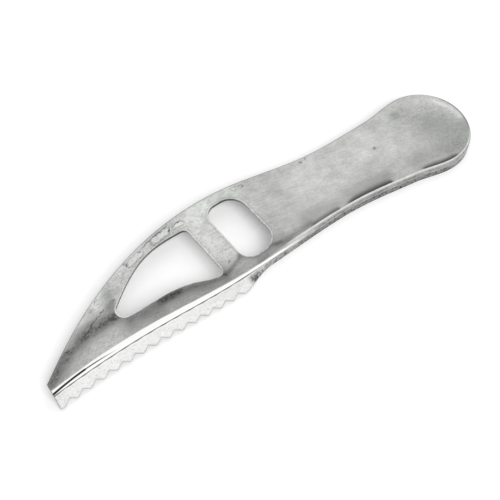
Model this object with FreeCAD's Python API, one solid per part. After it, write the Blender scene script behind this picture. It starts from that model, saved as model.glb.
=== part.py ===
import FreeCAD, Part
import math
import os

from FreeCAD import Vector

# A hand fish scaler, pressed from one piece of sheet aluminium: an inverted tray with an arched
# blade, two openings, a flared edge cut into teeth, and a handle with a round end.
# Working frame, millimetres: X runs from the open tip to the handle's end, Y from the toothed
# edge to the arched back, and Z up from the plane that the scaler lies on.

# Sheet, and the size of its bend along the back and round the handle
wall = 1.6
back_bend = 1.8

# Stations along X, measured from the open tip
hollow_at = 42.8
belly_at = 70.8
last_tooth_at = 79.4
crown_at = 87.8
front_waist_at = 134.8
back_waist_at = 142.5
handle_centre_at = 184.2
swell_length = 17.4

# Outline: how far each of those places lies from the X axis
tip_back = -1.65
crown = 34.1
back_waist = 29.45
back_swell = 30.35
tip_front = -6.6
hollow = -4.0
belly = -4.45
front_waist = -0.85
front_swell = -3.9
end_centre = 12.8
end_radius = 19.75

# Height of the top face over the plane that the scaler lies on
tip_height = 7.1
blade_height = 8.2
handle_height = 6.2
tip_rise_length = 22.8
level_past_crown = 5.0

# The skirt under the back is trimmed away towards the tip
tip_trim = 4.6
trim_length = 28.8
trim_middle = 1.3

# The front slopes down and bends over to a crease, and flares out below it
blade_roll_at = 38.8
tip_roll = 2.6
blade_roll = 11.4
shoulder_roll = 6.0
bend_share = 0.4
handle_roll = back_bend / bend_share
tip_slope_drop = 0.4
blade_slope_drop = 1.2
shoulder_slope_drop = 0.6
blade_crease = 5.1
handle_crease = 3.3
lip_height = 0.35
blade_lip = 0.5
handle_lip = 0.15
blade_flare = 50.0
handle_flare = 5.0
runout_length = 15.0
crease_fade = 40.0
lip_fade = 11.0

# Teeth
tooth_pitch = 5.55
tooth_count = 14
tooth_depth = 1.7
tooth_land = 0.5

# Leaf-shaped opening in the blade: its upper edge follows the back
bar_lean = 4.3
leaf_right = 75.7
leaf_point = (29.3, 5.4)
leaf_shoulder = (43.6, 17.3)
leaf_rise = (55.8, 23.6)
leaf_top = 25.2
leaf_level_share = 0.6
leaf_floor = 4.7
leaf_drop = (64.8, 2.8)
leaf_foot = 0.0
leaf_foot_run = 3.5
leaf_foot_rise = 0.3
leaf_point_radius = 3.3
leaf_top_radius = 2.2
leaf_foot_radius = 2.6

# Finger slot, across a bar from the leaf
slot_centre = (92.2, 14.3)
slot_width = 15.6
slot_length = 28.2
slot_bar_radius = 5.4
slot_handle_radius = 7.3

# Where the sheet's sections are taken: shares of the blade, of the run-out and of the handle
blade_shares = (0.0, 0.08, 0.2, 0.36, 0.53, 0.7, 0.86, 1.0)
runout_shares = (0.25, 0.5, 0.75, 1.0, 1.4)
handle_shares = (0.0, 0.17, 0.34, 0.51, 0.68, 0.84, 1.0)

# How far the cutting tools reach past the sheet
opening_reach = 3.0
tooth_reach = 2.0 * wall
trim_reach = 0.5


def guide(points, x):
    """Value at x of a smooth curve through the points: level at its ends, with no overshoot."""
    if x <= points[0][0]:
        return points[0][1]
    if x >= points[-1][0]:
        return points[-1][1]
    steps = [after[0] - before[0] for before, after in zip(points, points[1:])]
    rises = [after[1] - before[1] for before, after in zip(points, points[1:])]
    slopes = [rise / step for rise, step in zip(rises, steps)]
    tangents = [0.0]
    for before, after in zip(slopes, slopes[1:]):
        one_way = before * after > 0
        tangents.append(2.0 * before * after / (before + after) if one_way else 0.0)
    tangents.append(0.0)
    i = max(k for k in range(len(steps)) if points[k][0] <= x)
    t = (x - points[i][0]) / steps[i]
    leave = tangents[i] * steps[i]
    arrive = tangents[i + 1] * steps[i]
    bow = 3.0 * rises[i] - 2.0 * leave - arrive
    twist = leave + arrive - 2.0 * rises[i]
    return points[i][1] + leave * t + bow * t ** 2 + twist * t ** 3


def back_line(x):
    """The back: a parabola from the tip to the crown, then a waist before the round end."""
    if x < crown_at:
        return crown - (crown - tip_back) * ((crown_at - x) / crown_at) ** 2
    return guide([(crown_at, crown), (back_waist_at, back_waist),
                  (handle_centre_at - swell_length, back_swell),
                  (handle_centre_at, end_centre + end_radius)], x)


def front_line(x):
    """The front wall: hollow near the tip, a slight belly at the teeth, then the waist."""
    if x < hollow_at:
        return hollow - (hollow - tip_front) * ((hollow_at - x) / hollow_at) ** 2
    return guide([(hollow_at, hollow), (belly_at, belly), (front_waist_at, front_waist),
                  (handle_centre_at - swell_length, front_swell),
                  (handle_centre_at, end_centre - end_radius)], x)


def top_height(x):
    """The top face: it climbs from the tip, is level over the blade and sinks to the handle."""
    return guide([(0.0, tip_height), (tip_rise_length, blade_height),
                  (crown_at + level_past_crown, blade_height),
                  (front_waist_at, handle_height)], x)


def roll_width(x):
    """How far the front slope and its bend reach into the top face."""
    return guide([(0.0, tip_roll), (blade_roll_at, blade_roll), (last_tooth_at, shoulder_roll),
                  (front_waist_at, handle_roll)], x)


def slope_drop(x):
    """How far the front slope would fall if it ran on to the front wall."""
    return guide([(0.0, tip_slope_drop), (blade_roll_at, blade_slope_drop),
                  (last_tooth_at, shoulder_slope_drop), (front_waist_at, 0.0)], x)


def crease_height(x):
    """The crease sinks towards the handle, and meets the bend of the round end at its foot."""
    return guide([(last_tooth_at, blade_crease), (last_tooth_at + crease_fade, handle_crease),
                  (handle_centre_at - lip_fade, handle_crease),
                  (handle_centre_at, handle_height - back_bend - lip_height)], x)


def crease_depth(x):
    return guide([(last_tooth_at, blade_lip), (last_tooth_at + crease_fade, handle_lip),
                  (handle_centre_at - lip_fade, handle_lip), (handle_centre_at, 0.0)], x)


def flare_angle(x):
    """The sheet's lean from upright below the crease: wide at the teeth, steep at the handle."""
    degrees = guide([(last_tooth_at, blade_flare), (last_tooth_at + runout_length, handle_flare),
                     (handle_centre_at - lip_fade, handle_flare), (handle_centre_at, 0.0)], x)
    return math.radians(degrees)


def front_rim(x):
    """The outer corner of the flared rim: the sheet's square edge lies on its inner corner."""
    flare = flare_angle(x)
    z = wall * math.sin(flare)
    y = front_line(x) + crease_depth(x) - (crease_height(x) - z) * math.tan(flare)
    return Vector(x, y, z)


def bend(start, corner, end):
    """A bend in the sheet from start to end that rounds off the corner between them."""
    curve = Part.BezierCurve()
    curve.setPoles([start, corner, end])
    return curve.toShape()


def section(x):
    """The sheet's closed section at a station, from the front rim over the top to the back rim."""
    top = top_height(x)
    ceiling = top - wall
    front = front_line(x)
    back = back_line(x)
    crease = crease_height(x)
    flare = flare_angle(x)
    roll = roll_width(x)
    drop = slope_drop(x)
    fall = drop / roll

    def at(y, z):
        return Vector(x, y, z)

    rim = front_rim(x)
    lip = at(front + crease_depth(x), crease)
    shoulder = at(front, crease + lip_height)
    slope_foot = at(front + roll * bend_share, top - drop * (1.0 - bend_share))
    ridge = at(front + roll, top)
    bend_start = at(back - back_bend, top)
    bend_end = at(back, top - back_bend)
    back_rim = at(back, 0.0)
    inner_back_rim = at(back - wall, 0.0)
    inner_back = at(back - wall, ceiling)
    inner_ridge = at(front + roll, ceiling)
    inner_front = at(front + wall, ceiling - (roll - wall) * fall)
    inner_shoulder = at(front + wall, crease - wall * math.tan(flare / 2.0))
    inner_rim = at(rim.y + wall * math.cos(flare), 0.0)
    edges = [
        Part.makeLine(rim, lip),
        Part.makeLine(lip, shoulder),
        bend(shoulder, at(front, top - drop), slope_foot),
        Part.makeLine(slope_foot, ridge),
        Part.makeLine(ridge, bend_start),
        bend(bend_start, at(back, top), bend_end),
        Part.makeLine(bend_end, back_rim),
        Part.makeLine(back_rim, inner_back_rim),
        Part.makeLine(inner_back_rim, inner_back),
        Part.makeLine(inner_back, inner_ridge),
        Part.makeLine(inner_ridge, inner_front),
        Part.makeLine(inner_front, inner_shoulder),
        Part.makeLine(inner_shoulder, inner_rim),
        Part.makeLine(inner_rim, rim),
    ]
    return Part.Wire(edges)


def stations():
    """Closer together at the tip and where the teeth run out into the handle."""
    handle_start = last_tooth_at + 2.0 * runout_length
    handle_span = handle_centre_at - handle_start
    return ([last_tooth_at * share for share in blade_shares]
            + [last_tooth_at + runout_length * share for share in runout_shares]
            + [handle_start + handle_span * share for share in handle_shares])


def long_shell():
    """Tip, blade, neck and handle up to the centre of its round end."""
    return Part.makeLoft([section(x) for x in stations()], True, False)


def round_end():
    """The handle's round end: the back half of its last section, turned about its centre."""
    side = end_centre + end_radius
    top = handle_height
    ceiling = top - wall

    def at(y, z):
        return Vector(handle_centre_at, y, z)

    edges = [
        Part.makeLine(at(end_centre, top), at(side - back_bend, top)),
        bend(at(side - back_bend, top), at(side, top), at(side, top - back_bend)),
        Part.makeLine(at(side, top - back_bend), at(side, 0.0)),
        Part.makeLine(at(side, 0.0), at(side - wall, 0.0)),
        Part.makeLine(at(side - wall, 0.0), at(side - wall, ceiling)),
        Part.makeLine(at(side - wall, ceiling), at(end_centre, ceiling)),
        Part.makeLine(at(end_centre, ceiling), at(end_centre, top)),
    ]
    profile = Part.Face(Part.Wire(edges))
    return profile.revolve(at(end_centre, 0.0), Vector(0, 0, 1), -180.0)


def upright_prism(edges):
    """A cutting tool through the top face, standing on a closed outline."""
    outline = Part.Wire(Part.__sortEdges__(edges))
    return Part.Face(outline).extrude(Vector(0, 0, blade_height + opening_reach))


def round_corner(prism, near, radius):
    """Round the upright edge of a prism that stands nearest to a place in plan."""
    def distance(edge):
        middle = edge.BoundBox.Center
        return math.hypot(middle.x - near[0], middle.y - near[1])

    upright = [edge for edge in prism.Edges if edge.BoundBox.ZLength > blade_height]
    return prism.makeFillet(radius, [min(upright, key=distance)])


def smooth_edge(points):
    curve = Part.BSplineCurve()
    curve.interpolate([Vector(x, y, 0.0) for x, y in points])
    return curve.toShape()


def leaf_opening():
    """The big opening: a half leaf whose straight end is one side of the bar."""
    lean = math.tan(math.radians(bar_lean))
    top_corner = (leaf_right - (leaf_top - leaf_foot) * lean, leaf_top)
    foot_corner = (leaf_right, leaf_foot)
    level_at = leaf_rise[0] + (top_corner[0] - leaf_rise[0]) * leaf_level_share
    upper = smooth_edge([leaf_point, leaf_shoulder, leaf_rise, (level_at, leaf_top), top_corner])
    lower = smooth_edge([leaf_point, (leaf_shoulder[0], leaf_floor), (leaf_rise[0], leaf_floor),
                         leaf_drop, (leaf_right - leaf_foot_run, leaf_foot + leaf_foot_rise),
                         foot_corner])
    side = Part.makeLine(Vector(*top_corner, 0.0), Vector(*foot_corner, 0.0))
    prism = upright_prism([upper, lower, side])
    prism = round_corner(prism, leaf_point, leaf_point_radius)
    prism = round_corner(prism, top_corner, leaf_top_radius)
    return round_corner(prism, foot_corner, leaf_foot_radius)


def finger_slot():
    """The slot beside the bar: a tall rounded rectangle that leans with the bar."""
    half_width = slot_width / 2.0
    half_length = slot_length / 2.0
    corners = [(-half_width, -half_length), (half_width, -half_length),
               (half_width, half_length), (-half_width, half_length)]
    radii = [slot_bar_radius, slot_handle_radius, slot_handle_radius, slot_bar_radius]
    points = [Vector(x, y, 0.0) for x, y in corners]
    prism = upright_prism([Part.makeLine(a, b) for a, b in zip(points, points[1:] + points[:1])])
    for corner, radius in zip(corners, radii):
        prism = round_corner(prism, corner, radius)
    prism.rotate(Vector(0, 0, 0), Vector(0, 0, 1), bar_lean)
    prism.translate(Vector(*slot_centre, 0.0))
    return prism


def back_trim():
    """A cutter under the back, from the open tip to where its hollow edge runs out of the rim."""
    y = (tip_front + tip_back) / 2.0
    high = Vector(-trim_reach, y, tip_trim + trim_reach)
    low = Vector(trim_length, y, -trim_reach)
    outline = Part.Wire([
        Part.Arc(high, Vector(trim_length / 2.0, y, trim_middle), low).toShape(),
        Part.makeLine(low, Vector(-trim_reach, y, -trim_reach)),
        Part.makeLine(Vector(-trim_reach, y, -trim_reach), high),
    ])
    return Part.Face(outline).extrude(Vector(0, crown - y, 0))


def tooth_gap(x):
    """A wedge square to the flared sheet: its ridge is the root of the gap between two teeth."""
    flare = flare_angle(x)
    along = Vector(1.0, 0.0, 0.0)
    up_sheet = Vector(0.0, math.sin(flare), math.cos(flare))
    out_of_sheet = Vector(0.0, -math.cos(flare), math.sin(flare))
    half_width = (tooth_pitch - tooth_land) / 2.0
    spread = along * (half_width * (tooth_depth + tooth_reach) / tooth_depth)
    behind = front_rim(x) - out_of_sheet * tooth_reach
    root = behind + up_sheet * tooth_depth
    mouth = behind - up_sheet * tooth_reach
    outline = Part.makePolygon([root, mouth - spread, mouth + spread, root])
    return Part.Face(outline).extrude(out_of_sheet * (2.0 * tooth_reach))


def tooth_gaps():
    """Every gap between neighbouring teeth, from the handle's side to the wide end tooth."""
    return [tooth_gap(last_tooth_at - (i + 0.5) * tooth_pitch) for i in range(tooth_count)]


def scaler_body():
    """The whole scaler, moved so that its origin is under the middle of its outline."""
    body = long_shell().fuse(round_end())
    body = body.cut([leaf_opening(), finger_slot(), back_trim()] + tooth_gaps())
    middle = body.optimalBoundingBox(False, False).Center
    body.translate(Vector(-middle.x, -middle.y, 0.0))
    return body


os.makedirs("parts", exist_ok=True)
body = scaler_body()
body.exportStep("parts/scaler_body.step")
size = body.optimalBoundingBox(False, False)
print("solids", len(body.Solids), "valid", body.isValid(), "volume", round(body.Volume, 1))
print("x", round(size.XMin, 3), round(size.XMax, 3))
print("y", round(size.YMin, 3), round(size.YMax, 3))
print("z", round(size.ZMin, 3), round(size.ZMax, 3))
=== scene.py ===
# %% [markdown]
# # A worn fish scaler, pressed from one sheet of aluminium
# The real object is a blank of sheet metal, pressed in one die: a flat top, a skirt all round, a wide
# slope along the toothed edge, two openings and a row of teeth. This lesson builds it as what it is:
# one sheet, laid out as lines on a plan, given its heights, its thickness and its broken edges, and
# then a worn satin finish made of procedural nodes, with highlights and shade painted into its colour.

# %% Load the frame that everything is fitted to
import math

import bmesh
import bpy
import numpy as np
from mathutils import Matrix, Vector, geometry, kdtree, noise


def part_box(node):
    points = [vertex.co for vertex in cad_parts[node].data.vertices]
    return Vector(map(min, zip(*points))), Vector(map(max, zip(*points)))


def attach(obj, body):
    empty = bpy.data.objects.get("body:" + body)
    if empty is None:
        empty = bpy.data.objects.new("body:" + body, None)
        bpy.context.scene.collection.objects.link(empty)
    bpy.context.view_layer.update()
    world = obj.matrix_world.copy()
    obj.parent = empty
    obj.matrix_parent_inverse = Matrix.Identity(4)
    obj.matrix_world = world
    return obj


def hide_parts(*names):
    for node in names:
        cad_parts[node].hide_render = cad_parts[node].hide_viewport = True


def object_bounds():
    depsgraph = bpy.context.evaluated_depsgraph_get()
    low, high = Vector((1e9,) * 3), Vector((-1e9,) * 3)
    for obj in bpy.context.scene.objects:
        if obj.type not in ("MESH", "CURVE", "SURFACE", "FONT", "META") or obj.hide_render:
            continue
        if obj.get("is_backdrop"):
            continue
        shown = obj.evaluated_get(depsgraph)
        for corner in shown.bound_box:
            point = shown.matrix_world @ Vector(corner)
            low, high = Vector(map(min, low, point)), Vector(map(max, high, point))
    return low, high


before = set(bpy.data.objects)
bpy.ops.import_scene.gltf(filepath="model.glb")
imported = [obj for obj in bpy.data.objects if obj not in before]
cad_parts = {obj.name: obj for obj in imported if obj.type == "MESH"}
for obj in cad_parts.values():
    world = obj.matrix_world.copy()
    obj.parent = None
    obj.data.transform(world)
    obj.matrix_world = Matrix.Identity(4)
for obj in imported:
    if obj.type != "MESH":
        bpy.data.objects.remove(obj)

cad_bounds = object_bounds()
cad_low, cad_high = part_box("scaler_body")
print("frame box, mm:", [round(v * 1000, 2) for v in (*cad_low, *cad_high)])

# %% [markdown]
# ## Sizes
# The piece replaces the plain solid, so it has to have the same form. Its lines are worked out from the
# solid's driving sizes, in millimetres, measured from the open tip (X) and from the axis (Y). Two lines
# differ a little: the roll is one full curve here, 5.2 mm wide at the last tooth where the solid has 6,
# and the back rim is trimmed along a parabola, where the solid has an arc. The last step turns
# millimetres into Blender's metres, so that each number can be read off a ruler.

# %% Driving sizes of the sheet, in millimetres
MM = 0.001
wall = 1.6
back_bend = 1.8
bend_fullness = 0.6

hollow_at, belly_at, last_tooth_at, crown_at = 42.8, 70.8, 79.4, 87.8
front_waist_at, back_waist_at, handle_centre_at, swell_length = 134.8, 142.5, 184.2, 17.4

tip_back, crown, back_waist, back_swell = -1.65, 34.1, 29.45, 30.35
tip_front, hollow, belly, front_waist, front_swell = -6.6, -4.0, -4.45, -0.85, -3.9
end_centre, end_radius = 12.8, 19.75

tip_height, blade_height, handle_height = 7.1, 8.2, 6.2
tip_rise_length, level_past_crown = 22.8, 5.0
tip_trim, trim_length = 4.6, 28.8

blade_roll_at, tip_roll, blade_roll, shoulder_roll = 38.8, 2.6, 11.4, 5.2
blade_crease, handle_crease, lip_height = 5.1, 3.3, 0.35
blade_lip, handle_lip, crease_fade, lip_fade = 0.5, 0.15, 40.0, 11.0
blade_flare, handle_flare, runout_length = 50.0, 5.0, 15.0

tooth_pitch, tooth_count, tooth_depth, tooth_land = 5.55, 14, 1.7, 0.5

# %% [markdown]
# ## Lines of the outline
# A press tool's outline is a few smooth curves, not a row of points. Each curve here runs through its
# driving sizes as a monotone cubic: it is level at both ends and never swings past a size, which a
# common spline does. NumPy works on whole rows of stations at once, so the mesh later costs no loops.

# %% One smooth curve through a few sizes
def guide(points, x):
    """Values at x of a curve through the points, level at its ends and with no overshoot."""
    at, value = np.array(points, float).T
    step, rise = np.diff(at), np.diff(value)
    slope = rise / step
    before, after = slope[:-1], slope[1:]
    one_way = before * after > 0
    turn = np.where(one_way, 2.0 * before * after / np.where(one_way, before + after, 1.0), 0.0)
    tangent = np.concatenate([[0.0], turn, [0.0]])
    x = np.clip(x, at[0], at[-1])
    i = np.clip(np.searchsorted(at, x, side="right") - 1, 0, len(step) - 1)
    t = (x - at[i]) / step[i]
    leave, arrive = tangent[i] * step[i], tangent[i + 1] * step[i]
    bow = 3.0 * rise[i] - 2.0 * leave - arrive
    twist = leave + arrive - 2.0 * rise[i]
    return value[i] + leave * t + bow * t ** 2 + twist * t ** 3


# %% The lines that the sheet follows
def back_line(x):
    arch = crown - (crown - tip_back) * ((crown_at - x) / crown_at) ** 2
    handle = guide([(crown_at, crown), (back_waist_at, back_waist),
                    (handle_centre_at - swell_length, back_swell),
                    (handle_centre_at, end_centre + end_radius)], x)
    return np.where(x < crown_at, arch, handle)


def front_line(x):
    tip = hollow - (hollow - tip_front) * ((hollow_at - x) / hollow_at) ** 2
    rest = guide([(hollow_at, hollow), (belly_at, belly), (front_waist_at, front_waist),
                  (handle_centre_at - swell_length, front_swell),
                  (handle_centre_at, end_centre - end_radius)], x)
    return np.where(x < hollow_at, tip, rest)


def top_height(x):
    return guide([(0.0, tip_height), (tip_rise_length, blade_height),
                  (crown_at + level_past_crown, blade_height), (front_waist_at, handle_height)], x)


def roll_width(x):
    return guide([(0.0, tip_roll), (blade_roll_at, blade_roll), (last_tooth_at, shoulder_roll),
                  (front_waist_at, back_bend)], x)


def crease_height(x):
    return guide([(last_tooth_at, blade_crease), (last_tooth_at + crease_fade, handle_crease),
                  (handle_centre_at - lip_fade, handle_crease),
                  (handle_centre_at, handle_height - back_bend - lip_height)], x)


def crease_depth(x):
    return guide([(last_tooth_at, blade_lip), (last_tooth_at + crease_fade, handle_lip),
                  (handle_centre_at - lip_fade, handle_lip), (handle_centre_at, 0.0)], x)


def flare_angle(x):
    return np.radians(guide([(last_tooth_at, blade_flare), (last_tooth_at + runout_length, handle_flare),
                             (handle_centre_at - lip_fade, handle_flare), (handle_centre_at, 0.0)], x))


def back_rim_height(x):
    return np.where(x < trim_length, tip_trim * (1.0 - x / trim_length) ** 2, 0.0)


def from_end(x, y):
    """Distance inward from the round end."""
    return end_radius - np.hypot(x - handle_centre_at, y - end_centre)


def from_outline(x, y):
    """Distance inward from the nearest side of the outline."""
    side = np.minimum(y - front_line(x), back_line(x) - y)
    return np.where(x > handle_centre_at, from_end(x, y), side)


for x in (0.0, hollow_at, crown_at, back_waist_at):
    print(f"at {x:5.1f}: front {float(front_line(x)):6.2f}, back {float(back_line(x)):6.2f}, "
          f"top {float(top_height(x)):5.2f}")

# %% [markdown]
# ## Bends
# Every bend starts upright on the skirt and ends level in the top face. A cubic Bezier curve does that
# with one number for its fullness. To give heights to points that are placed on the plan, the curve is
# also needed the other way round, from a distance to a height: halving an interval finds it.

# %% A bend as a curve, and as a height over the plan
halvings = 30


def bend_point(t, width, low, high):
    """Distance inward from the outline, and height, at t on a bend."""
    u = 1.0 - t
    lift = low + (high - low) * bend_fullness
    inward = 3.0 * u * t * t * width * (1.0 - bend_fullness) + t ** 3 * width
    height = u ** 3 * low + 3.0 * u * u * t * lift + (3.0 * u * t * t + t ** 3) * high
    return inward, height


def bend_height(inward, width, low, high):
    """Height of a bend at a distance inward from the outline."""
    wanted = np.clip(inward, 0.0, width)
    below, above = np.zeros_like(wanted), np.ones_like(wanted)
    for _ in range(halvings):
        middle = (below + above) / 2.0
        short = bend_point(middle, width, low, high)[0] < wanted
        below, above = np.where(short, middle, below), np.where(short, above, middle)
    return bend_point((below + above) / 2.0, width, low, high)[1]


def top_surface(x, y):
    """Height of the pressed top face and its bends at places on the plan."""
    top = top_height(x)
    low = crease_height(x) + lip_height
    front = bend_height(y - front_line(x), roll_width(x), low, top)
    back = bend_height(back_line(x) - y, back_bend, top - back_bend, top)
    end = bend_height(from_end(x, y), back_bend, top - back_bend, top)
    return np.where(x > handle_centre_at, end, np.minimum(front, back))


print("height over the slope, 3 mm in:", round(float(top_surface(50.0, -1.0)), 3))

# %% [markdown]
# ## Columns down the wall
# The wall goes round the whole outline except at the open tip: along the front, round the end and back
# along the arch. It could be extruded and sculpted, but the teeth need crisp corners at exact places.
# So the wall is a grid: one column at each station, with the columns of the blade placed on the corners
# of the teeth, and rows that run down the bend, over the crease and out along the flange.

# %% Stations of the columns
edge_radius = 0.2
column_step = 1.0
tooth_side_columns = 5
tip_columns = 4
end_columns = 72

half_gap = (tooth_pitch - tooth_land) / 2.0
gaps_at = last_tooth_at - (np.arange(tooth_count) + 0.5) * tooth_pitch


def front_stations():
    side = np.linspace(-half_gap, half_gap, 2 * tooth_side_columns + 1)
    teeth = np.sort((gaps_at[:, None] + side[None, :]).ravel())
    tip = np.linspace(edge_radius, teeth[0], tip_columns, endpoint=False)
    count = int((handle_centre_at - last_tooth_at) / column_step)
    handle = np.linspace(last_tooth_at, handle_centre_at, count, endpoint=False)
    return np.concatenate([tip, teeth, handle])


def tooth_notch(x):
    """How much of the flange's length the gap between two teeth takes away."""
    away = np.abs(x[:, None] - gaps_at[None, :]).min(axis=1)
    return tooth_depth * np.clip(1.0 - away / half_gap, 0.0, 1.0)


front_x = front_stations()
end_angle = np.linspace(0.0, math.pi, end_columns, endpoint=False)
back_x = np.linspace(handle_centre_at, edge_radius, int(handle_centre_at / column_step))
print("columns:", len(front_x), "front,", len(end_angle), "end,", len(back_x), "back")

# %% What each column is made from
def joined(front, end, back):
    """Values along the front, round the end and along the back, in one row."""
    return np.concatenate([np.broadcast_to(values, at.shape)
                           for values, at in ((front, front_x), (end, end_angle), (back, back_x))])


def column_values():
    """Foot point, inward direction and profile sizes of every column, from tip to tip."""
    columns = {}
    x = np.concatenate([front_x, handle_centre_at + end_radius * np.sin(end_angle), back_x])
    y = np.concatenate([front_line(front_x), end_centre - end_radius * np.cos(end_angle),
                        back_line(back_x)])
    columns["foot"] = np.stack([x, y], axis=1)
    columns["inward"] = np.concatenate([
        np.tile([0.0, 1.0], (len(front_x), 1)),
        np.stack([-np.sin(end_angle), np.cos(end_angle)], axis=1),
        np.tile([0.0, -1.0], (len(back_x), 1))])
    end_foot = handle_height - back_bend
    end_crease = end_foot - lip_height
    back_foot = top_height(back_x) - back_bend
    rim = back_rim_height(back_x)
    back_crease = rim + (back_foot - rim) * end_crease / end_foot
    columns["width"] = joined(roll_width(front_x), back_bend, back_bend)
    columns["high"] = joined(top_height(front_x), handle_height, top_height(back_x))
    columns["low"] = joined(crease_height(front_x) + lip_height, end_foot, back_foot)
    columns["crease"] = joined(crease_height(front_x), end_crease, back_crease)
    columns["depth"] = joined(crease_depth(front_x), 0.0, 0.0)
    flare = flare_angle(front_x)
    columns["flare"] = joined(flare, 0.0, 0.0)
    length = (crease_height(front_x) - wall * np.sin(flare)) / np.cos(flare) - tooth_notch(front_x)
    columns["length"] = joined(length, end_crease, back_crease - rim) - edge_radius
    bead = guide([(last_tooth_at, 1.0), (last_tooth_at + runout_length, 0.0)], front_x)
    columns["bead"] = joined(bead, 0.0, 0.0)
    return columns


columns = column_values()
column_count = len(columns["foot"])
print("column count:", column_count, "shortest wall, mm:", round(float(columns["length"].min()), 2))

# %% Rows down the wall: the bend, the crease with its small bead, and the flange
bend_rows = np.linspace(0.5, 0.0, 10)
lip_rows = (0.5, 1.0)
flange_rows = ((0.05, 0.5), (0.1, 1.0), (0.15, 0.9), (0.2, 0.4), (0.26, 0.0), (0.38, 0.0), (0.5, 0.0),
               (0.62, 0.0), (0.74, 0.0), (0.87, 0.0), (1.0, 0.0))
bead_height = 0.12


def wall_grid():
    """Every wall point as (row, column, xyz) in millimetres, and its distance from the outline."""
    c = columns
    profile = [bend_point(t, c["width"], c["low"], c["high"]) for t in bend_rows]
    profile += [(c["depth"] * share, c["low"] + (c["crease"] - c["low"]) * share) for share in lip_rows]
    for share, bulge in flange_rows:
        down = c["length"] * share
        out = bead_height * bulge * c["bead"]
        profile.append((c["depth"] - down * np.sin(c["flare"]) - out * np.cos(c["flare"]),
                        c["crease"] - down * np.cos(c["flare"]) + out * np.sin(c["flare"])))
    grid = np.empty((len(profile), column_count, 3))
    inset = np.empty((len(profile), column_count))
    for row, (inward, height) in enumerate(profile):
        grid[row, :, :2] = c["foot"] + c["inward"] * inward[:, None]
        grid[row, :, 2] = height
        inset[row] = inward if row < len(bend_rows) else height - c["low"]
    return grid, inset


wall_points, wall_inset = wall_grid()
print("wall grid:", wall_points.shape[:2])

# %% [markdown]
# ## The two openings
# The leaf-shaped window and the finger slot were blanked out of the flat sheet, so on the plan they are
# plain closed lines with rounded corners. A boolean cut would leave slivers along the wall of the hole.
# Drawing the line first and filling the sheet up to it gives even faces and a clean edge to round off.

# %% Sizes of the openings
opening_radius = 0.35
opening_step = 0.45
spline_steps = 20

bar_lean = math.tan(math.radians(4.3))
leaf_right, leaf_top, leaf_foot, leaf_floor = 75.7, 25.2, 0.0, 4.7
leaf_point, leaf_shoulder, leaf_rise, leaf_drop = (29.3, 5.4), (43.6, 17.3), (55.8, 23.6), (64.8, 2.8)
leaf_level_share, leaf_foot_run, leaf_foot_rise = 0.6, 3.5, 0.3
leaf_point_radius, leaf_top_radius, leaf_foot_radius = 3.3, 2.2, 2.6

slot_centre, slot_width, slot_length = (92.2, 14.3), 15.6, 28.2
slot_bar_radius, slot_handle_radius = 5.4, 7.3
print("slot:", slot_length, "by", slot_width, "mm")


# %% Lines on the plan
def unit(vector):
    return vector / np.linalg.norm(vector)


def resampled(path, step, start=0.0, end=0.0):
    """A path at even steps, with a length left off at its start and at its end."""
    along = np.concatenate([[0.0], np.cumsum(np.hypot(*np.diff(path, axis=0).T))])
    count = max(2, int(round((along[-1] - start - end) / step)) + 1)
    at = np.linspace(start, along[-1] - end, count)
    return np.stack([np.interp(at, along, path[:, axis]) for axis in (0, 1)], axis=1)


def smooth_line(points):
    """A natural cubic spline through a few points, spaced by the distances between them."""
    p = np.array(points, float)
    s = np.concatenate([[0.0], np.cumsum(np.hypot(*np.diff(p, axis=0).T))])
    h, n = np.diff(s), len(p)
    system, side = np.eye(n), np.zeros((n, 2))
    for i in range(1, n - 1):
        system[i, i - 1:i + 2] = h[i - 1], 2.0 * (h[i - 1] + h[i]), h[i]
        side[i] = 6.0 * ((p[i + 1] - p[i]) / h[i] - (p[i] - p[i - 1]) / h[i - 1])
    bow = np.linalg.solve(system, side)
    at = np.linspace(0.0, s[-1], spline_steps * n)
    i = np.clip(np.searchsorted(s, at, side="right") - 1, 0, n - 2)
    a, b = (s[i + 1] - at)[:, None], (at - s[i])[:, None]
    step = h[i][:, None]
    return (bow[i] * a ** 3 + bow[i + 1] * b ** 3) / (6.0 * step) \
        + (p[i] / step - bow[i] * step / 6.0) * a + (p[i + 1] / step - bow[i + 1] * step / 6.0) * b


def rounded_loop(sides, radii):
    """Closed line of several sides, with an arc of the given radius after each side."""
    def turn(path, following):
        a, b = unit(path[-1] - path[-2]), unit(following[1] - following[0])
        return a, b, math.acos(float(np.clip(a @ b, -1.0, 1.0)))

    after = sides[1:] + sides[:1]
    cuts = [radius * math.tan(turn(side, following)[2] / 2.0)
            for side, following, radius in zip(sides, after, radii)]
    parts = [resampled(side, opening_step, cuts[i - 1], cuts[i]) for i, side in enumerate(sides)]
    loop = []
    for part, following, radius in zip(parts, parts[1:] + parts[:1], radii):
        a, b, angle = turn(part, following)
        reach = 4.0 / 3.0 * math.tan(angle / 4.0) * radius
        t = np.linspace(0.0, 1.0, max(3, int(angle * radius / opening_step)) + 1)[1:-1, None]
        loop.append(part)
        loop.append((1 - t) ** 3 * part[-1] + 3 * (1 - t) ** 2 * t * (part[-1] + a * reach)
                    + 3 * (1 - t) * t ** 2 * (following[0] - b * reach) + t ** 3 * following[0])
    return np.concatenate(loop)


def widened(loop, distance):
    """A loop that runs anticlockwise, moved outward by a distance."""
    ahead = np.roll(loop, -1, axis=0) - np.roll(loop, 1, axis=0)
    ahead /= np.linalg.norm(ahead, axis=1)[:, None]
    return loop + distance * np.stack([ahead[:, 1], -ahead[:, 0]], axis=1)


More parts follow.
